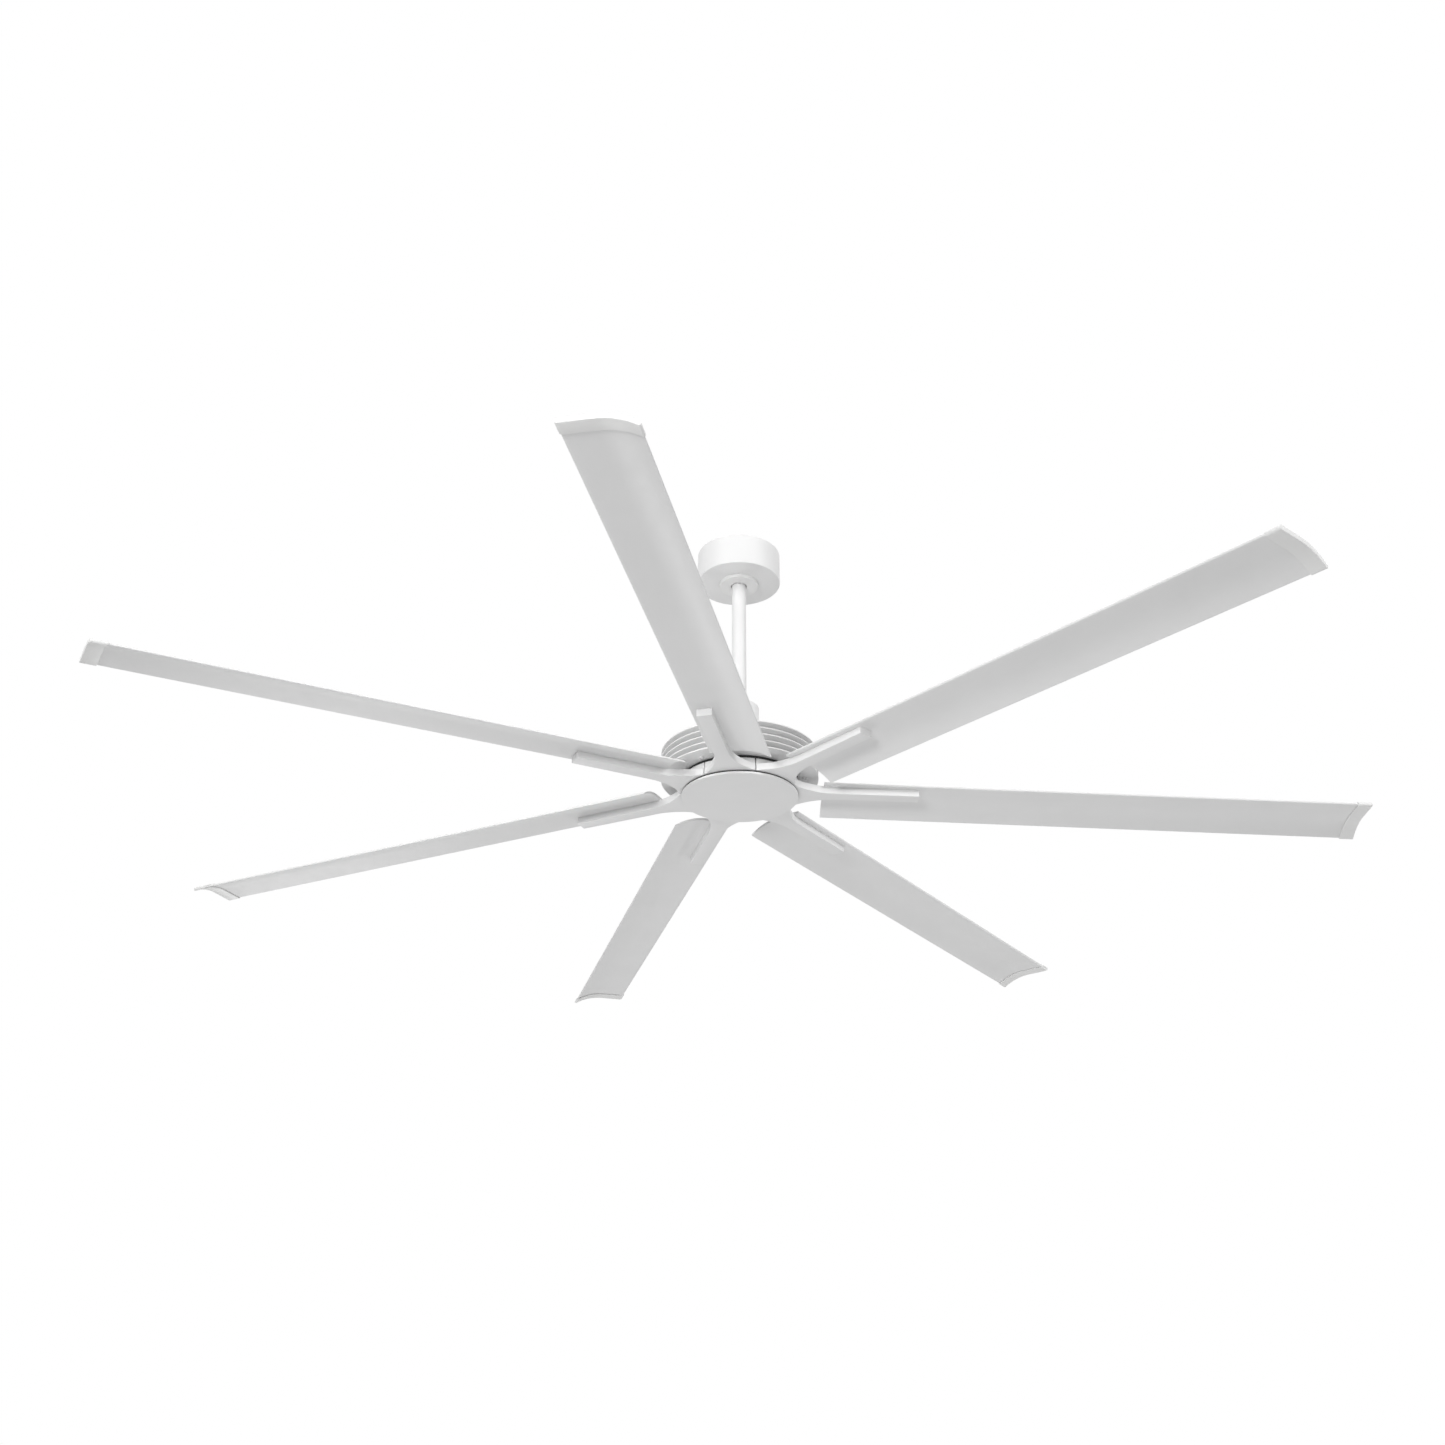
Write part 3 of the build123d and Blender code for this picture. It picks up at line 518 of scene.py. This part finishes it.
def bracket_plan(work):
    # The arm with its flares and the sector of the ring, as two flat faces that share an arc.
    far_y = arm_shift + arm_width / 2
    near_y = arm_shift - arm_width / 2
    far = flare(far_y)
    near = flare(near_y)
    shared = ring_arc(on_seam(ring_radius, -1), on_seam(ring_radius, 1), rim_steps)
    bore = ring_arc(on_seam(ring_bore_radius, 1), on_seam(ring_bore_radius, -1), bore_steps)
    arm_end = [Vector((arm_end_radius, near_y)), Vector((arm_end_radius, far_y))]

    def placed(points):
        return [work.verts.new((point.x, point.y, 0)) for point in points]

    rim = placed(shared)
    work.faces.new([rim[0]] + placed(near + arm_end + far[::-1]) + rim[:0:-1])
    work.faces.new(rim + placed(bore))


def arm_bottom(x):
    share = max(x - ramp_start, 0) / (arm_end_radius - ramp_start)
    return ring_bottom - arm_end_drop * share


def arm_top(x):
    if x >= ramp_end:
        return blade_underside(x)
    share = max(x - ramp_start, 0) / (ramp_end - ramp_start)
    low = ring_bottom + arm_root_height
    return low + share * (blade_underside(ramp_end) - low)


def build_bracket(index):
    work = bmesh.new()
    bracket_plan(work)
    for cut in (ramp_start, ramp_end):
        everything = work.verts[:] + work.edges[:] + work.faces[:]
        bmesh.ops.bisect_plane(
            work, geom=everything, plane_co=(cut, 0, 0), plane_no=(1, 0, 0), dist=same_place
        )
    # The plan grows to the height of the arm.
    grown = bmesh.ops.extrude_face_region(work, geom=work.faces[:])["geom"]
    raised = [item for item in grown if isinstance(item, bmesh.types.BMVert)]
    tops = [item for item in grown if isinstance(item, bmesh.types.BMFace)]
    for vert in work.verts:
        vert.co.z = arm_bottom(vert.co.x)
    for vert in raised:
        vert.co.z = arm_top(vert.co.x)
    # The sector, the largest top face within the ring, grows on to the flange.
    inner = [face for face in tops if face.calc_center_median().x < ring_radius]
    sector = max(inner, key=lambda face: face.calc_area())
    grown = bmesh.ops.extrude_face_region(work, geom=[sector])["geom"]
    for vert in [item for item in grown if isinstance(item, bmesh.types.BMVert)]:
        vert.co.z = flange_bottom
    if sector.is_valid:
        bmesh.ops.delete(work, geom=[sector], context="FACES_ONLY")
    bmesh.ops.recalc_face_normals(work, faces=work.faces)
    sharp = [edge for edge in work.edges if edge.calc_face_angle(0) > bevel_angle]
    bmesh.ops.bevel(
        work, geom=sharp, offset=bracket_round, segments=3, profile=0.5, affect="EDGES",
        clamp_overlap=True,
    )
    work.transform(blade_turn(index))
    number = str(index + 1)
    finished(
        "arm_bracket_" + number, work, powder_coat, "rotor", "white_powder_coat",
        "blade_bracket_" + number,
    )


def blade_section(stand):
    # Flat from the rounded leading edge, then curved down to the thin trailing edge.
    top = blade_rise + blade_thickness
    nose = blade_thickness / 2 - blade_lead
    low = blade_rise - stand
    high = top + stand
    under_centre = Vector((blade_flat, blade_rise - camber_radius))
    top_edge = arc(under_centre, camber_radius + blade_trail_thickness, camber_angle, 0, 1)[0]
    across = top_edge.x - blade_flat
    drop = top - top_edge.y
    upper_radius = (across**2 + drop**2) / (2 * drop)
    upper_angle = math.asin(across / upper_radius)
    upper_centre = Vector((blade_flat, top - upper_radius))
    under = arc(under_centre, camber_radius - stand, 0, camber_angle, camber_steps)
    upper = arc(upper_centre, upper_radius + stand, upper_angle, 0, camber_steps)
    edge = upper[0] - under[-1]
    tail_centre = (upper[0] + under[-1]) / 2
    tail_turn = math.atan2(edge.x, edge.y)
    tail = arc(tail_centre, edge.length / 2, tail_turn + math.pi, tail_turn, tail_steps)[1:-1]
    nose_centre = Vector((nose, blade_rise + blade_thickness / 2))
    front = arc(nose_centre, (high - low) / 2, 0, -math.pi, nose_steps)
    flat_stride = (blade_flat - nose) / flat_steps
    flat_under = [Vector((nose + flat_stride * step, low)) for step in range(1, flat_steps)]
    flat_upper = [Vector((blade_flat - flat_stride * step, high)) for step in range(1, flat_steps)]
    return under + tail + upper + flat_upper + front + flat_under


def section_loop(work, x, stand):
    return [work.verts.new((x, point.x, point.y)) for point in blade_section(stand)]


def rounded_end(work, x, direction, stand, small):
    # Loops from the inset rim at x back to the full section.
    loops = []
    for step in range(end_steps + 1):
        angle = math.pi / 2 * step / end_steps
        inset = small * (1 - math.sin(angle))
        back = small * (1 - math.cos(angle))
        loops.append(section_loop(work, x - direction * back, stand - inset))
    return loops


def build_blade(index):
    work = bmesh.new()
    end = blade_tip_radius - cap_length + cap_grip
    span = end - blade_root_radius
    loops = rounded_end(work, blade_root_radius, -1, 0, blade_end_round)
    for step in range(1, span_steps):
        loops.append(section_loop(work, blade_root_radius + span * step / span_steps, 0))
    loops += rounded_end(work, end, 1, 0, blade_end_round)[::-1]
    bridge(work, loops)
    work.faces.new(loops[0])
    work.faces.new(loops[-1])
    work.transform(blade_turn(index) @ drooped())
    number = str(index + 1)
    finished(
        "fan_blade_" + number, work, blade_coat, "rotor", "white_blade_coat", "blade_" + number
    )


def build_cap(index):
    work = bmesh.new()
    start = blade_tip_radius - cap_length
    pocket = start + cap_grip + cap_gap
    loops = [section_loop(work, pocket, cap_gap), section_loop(work, start, cap_gap)]
    loops += rounded_end(work, start, -1, cap_stand, cap_mouth_round)
    loops += rounded_end(work, blade_tip_radius, 1, cap_stand, cap_tip_round)[::-1]
    bridge(work, loops)
    work.faces.new(loops[0])
    work.faces.new(loops[-1])
    work.transform(blade_turn(index) @ drooped())
    number = str(index + 1)
    finished(
        "blade_cap_" + number, work, white_plastic, "rotor", "white_plastic", "tip_cap_" + number
    )


# Floor and world
floor_height = -2.6
floor_reach = 40.0
floor_cells = 8
floor_roughness = 0.7
floor_cloud_scale = 2.0
floor_dark = (0.8, 0.8, 0.8)
floor_light = (0.83, 0.83, 0.83)
floor_paleness = 0.4
white = (1, 1, 1, 1)
world_strength = 0.36
backdrop_strength = 1.0


def seen_rays(tree):
    # 1 for what the camera sees directly, in gloss or through glass.
    path = tree.nodes.new("ShaderNodeLightPath")
    seen = path.outputs["Is Camera Ray"]
    for ray in ("Is Glossy Ray", "Is Transmission Ray"):
        either = tree.nodes.new("ShaderNodeMath")
        either.operation = "MAXIMUM"
        tree.links.new(seen, either.inputs[0])
        tree.links.new(path.outputs[ray], either.inputs[1])
        seen = either.outputs["Value"]
    return seen


def build_floor():
    work = bmesh.new()
    bmesh.ops.create_grid(work, x_segments=floor_cells, y_segments=floor_cells, size=floor_reach)
    mesh = bpy.data.meshes.new("floor")
    work.to_mesh(mesh)
    work.free()
    floor = bpy.data.objects.new("floor", mesh)
    floor.location = (0, 0, floor_height)
    bpy.context.scene.collection.objects.link(floor)
    material, tree, principled = shader("floor_pale", floor_roughness)
    cloud = noise(tree, floor_cloud_scale)
    tone = ramp(tree, cloud, [(ramp_low, floor_dark), (ramp_high, floor_light)])
    tree.links.new(tone, principled.inputs["Base Color"])
    # Seen by the camera and in gloss, the floor is paler than it lights; its shadow stays.
    paper = tree.nodes.new("ShaderNodeEmission")
    mix = tree.nodes.new("ShaderNodeMixShader")
    share = tree.nodes.new("ShaderNodeMath")
    share.operation = "MULTIPLY"
    share.inputs[1].default_value = floor_paleness
    tree.links.new(seen_rays(tree), share.inputs[0])
    tree.links.new(share.outputs["Value"], mix.inputs["Fac"])
    tree.links.new(principled.outputs["BSDF"], mix.inputs[1])
    tree.links.new(paper.outputs["Emission"], mix.inputs[2])
    tree.links.new(mix.outputs["Shader"], tree.nodes["Material Output"].inputs["Surface"])
    mesh.materials.append(material)


def build_world():
    # A white backdrop for the camera and a weaker light on the object.
    world = bpy.data.worlds.new("studio")
    bpy.context.scene.world = world
    world.use_nodes = True
    tree = world.node_tree
    tree.nodes.clear()
    output = tree.nodes.new("ShaderNodeOutputWorld")
    light = tree.nodes.new("ShaderNodeBackground")
    light.inputs["Color"].default_value = white
    light.inputs["Strength"].default_value = world_strength
    backdrop = tree.nodes.new("ShaderNodeBackground")
    backdrop.inputs["Color"].default_value = white
    backdrop.inputs["Strength"].default_value = backdrop_strength
    mix = tree.nodes.new("ShaderNodeMixShader")
    tree.links.new(seen_rays(tree), mix.inputs["Fac"])
    tree.links.new(light.outputs["Background"], mix.inputs[1])
    tree.links.new(backdrop.outputs["Background"], mix.inputs[2])
    tree.links.new(mix.outputs["Shader"], output.inputs["Surface"])


# Lamps
lamp_distance = 4.2
lamp_aim_height = -0.45
bounce_distance = 2.0


def area_lamp(name, azimuth, elevation, size, spread, power, distance=lamp_distance):
    # Azimuth is counted from the front (-Y) towards the right (+X), in degrees.
    side = math.radians(azimuth)
    rise = math.radians(elevation)
    away = Vector(
        (math.sin(side) * math.cos(rise), -math.cos(side) * math.cos(rise), math.sin(rise))
    )
    lamp = bpy.data.lights.new(name, "AREA")
    lamp.shape = "DISK"
    lamp.size = size
    lamp.spread = math.radians(spread)
    lamp.energy = power
    holder = bpy.data.objects.new(name, lamp)
    holder.location = Vector((0, 0, lamp_aim_height)) + away * distance
    holder.rotation_euler = away.to_track_quat("Z", "Y").to_euler()
    holder.visible_camera = False
    bpy.context.scene.collection.objects.link(holder)


def build_lamps():
    area_lamp("top", azimuth=0, elevation=89.9, size=2.5, spread=120, power=28)
    area_lamp(
        "floor_bounce", azimuth=0, elevation=-89.9, size=5.0, spread=180, power=8,
        distance=bounce_distance,
    )
    area_lamp("front_left", azimuth=-45, elevation=20, size=2.0, spread=100, power=16)
    area_lamp("front_right", azimuth=50, elevation=20, size=2.0, spread=100, power=20)
    area_lamp("low_front", azimuth=-18, elevation=-7, size=0.9, spread=70, power=10)
    area_lamp("low_back_right", azimuth=130, elevation=-20, size=0.6, spread=60, power=2.6)
    area_lamp("low_back_left", azimuth=-155, elevation=-24, size=0.6, spread=60, power=2.8)


# Camera: the photograph's own viewpoint, below the blades and in front, looking up
focal_pixels = 1766.31
image_pixels = 1445
sensor_width = 36.0
camera_place = Vector((0.0, -2.69284, -1.72691))
camera_pitch = math.radians(27.3314)
camera_yaw = math.radians(-0.6176)
camera_roll = math.radians(0.0466)
camera_reach = 100


def build_camera():
    pitch_cosine = math.cos(camera_pitch)
    forward = Vector(
        (
            math.sin(camera_yaw) * pitch_cosine,
            math.cos(camera_yaw) * pitch_cosine,
            math.sin(camera_pitch),
        )
    )
    level_right = Vector((math.cos(camera_yaw), -math.sin(camera_yaw), 0))
    level_up = level_right.cross(forward)
    right = math.cos(camera_roll) * level_right + math.sin(camera_roll) * level_up
    up = math.cos(camera_roll) * level_up - math.sin(camera_roll) * level_right
    lens = bpy.data.cameras.new("photo_camera")
    lens.sensor_fit = "HORIZONTAL"
    lens.sensor_width = sensor_width
    lens.lens = focal_pixels * sensor_width / image_pixels
    lens.clip_end = camera_reach
    camera = bpy.data.objects.new("photo_camera", lens)
    axes = Matrix((right, up, -forward)).transposed().to_4x4()
    camera.matrix_world = Matrix.Translation(camera_place) @ axes
    bpy.context.scene.collection.objects.link(camera)
    bpy.context.scene.camera = camera


dress_nodes()
build_canopy()
build_trim()
build_coupling_cover()
build_housing()
for index in range(blade_count):
    build_bracket(index)
    build_blade(index)
    build_cap(index)
build_floor()
build_world()
build_lamps()
build_camera()
bpy.context.scene.view_settings.view_transform = "Standard"
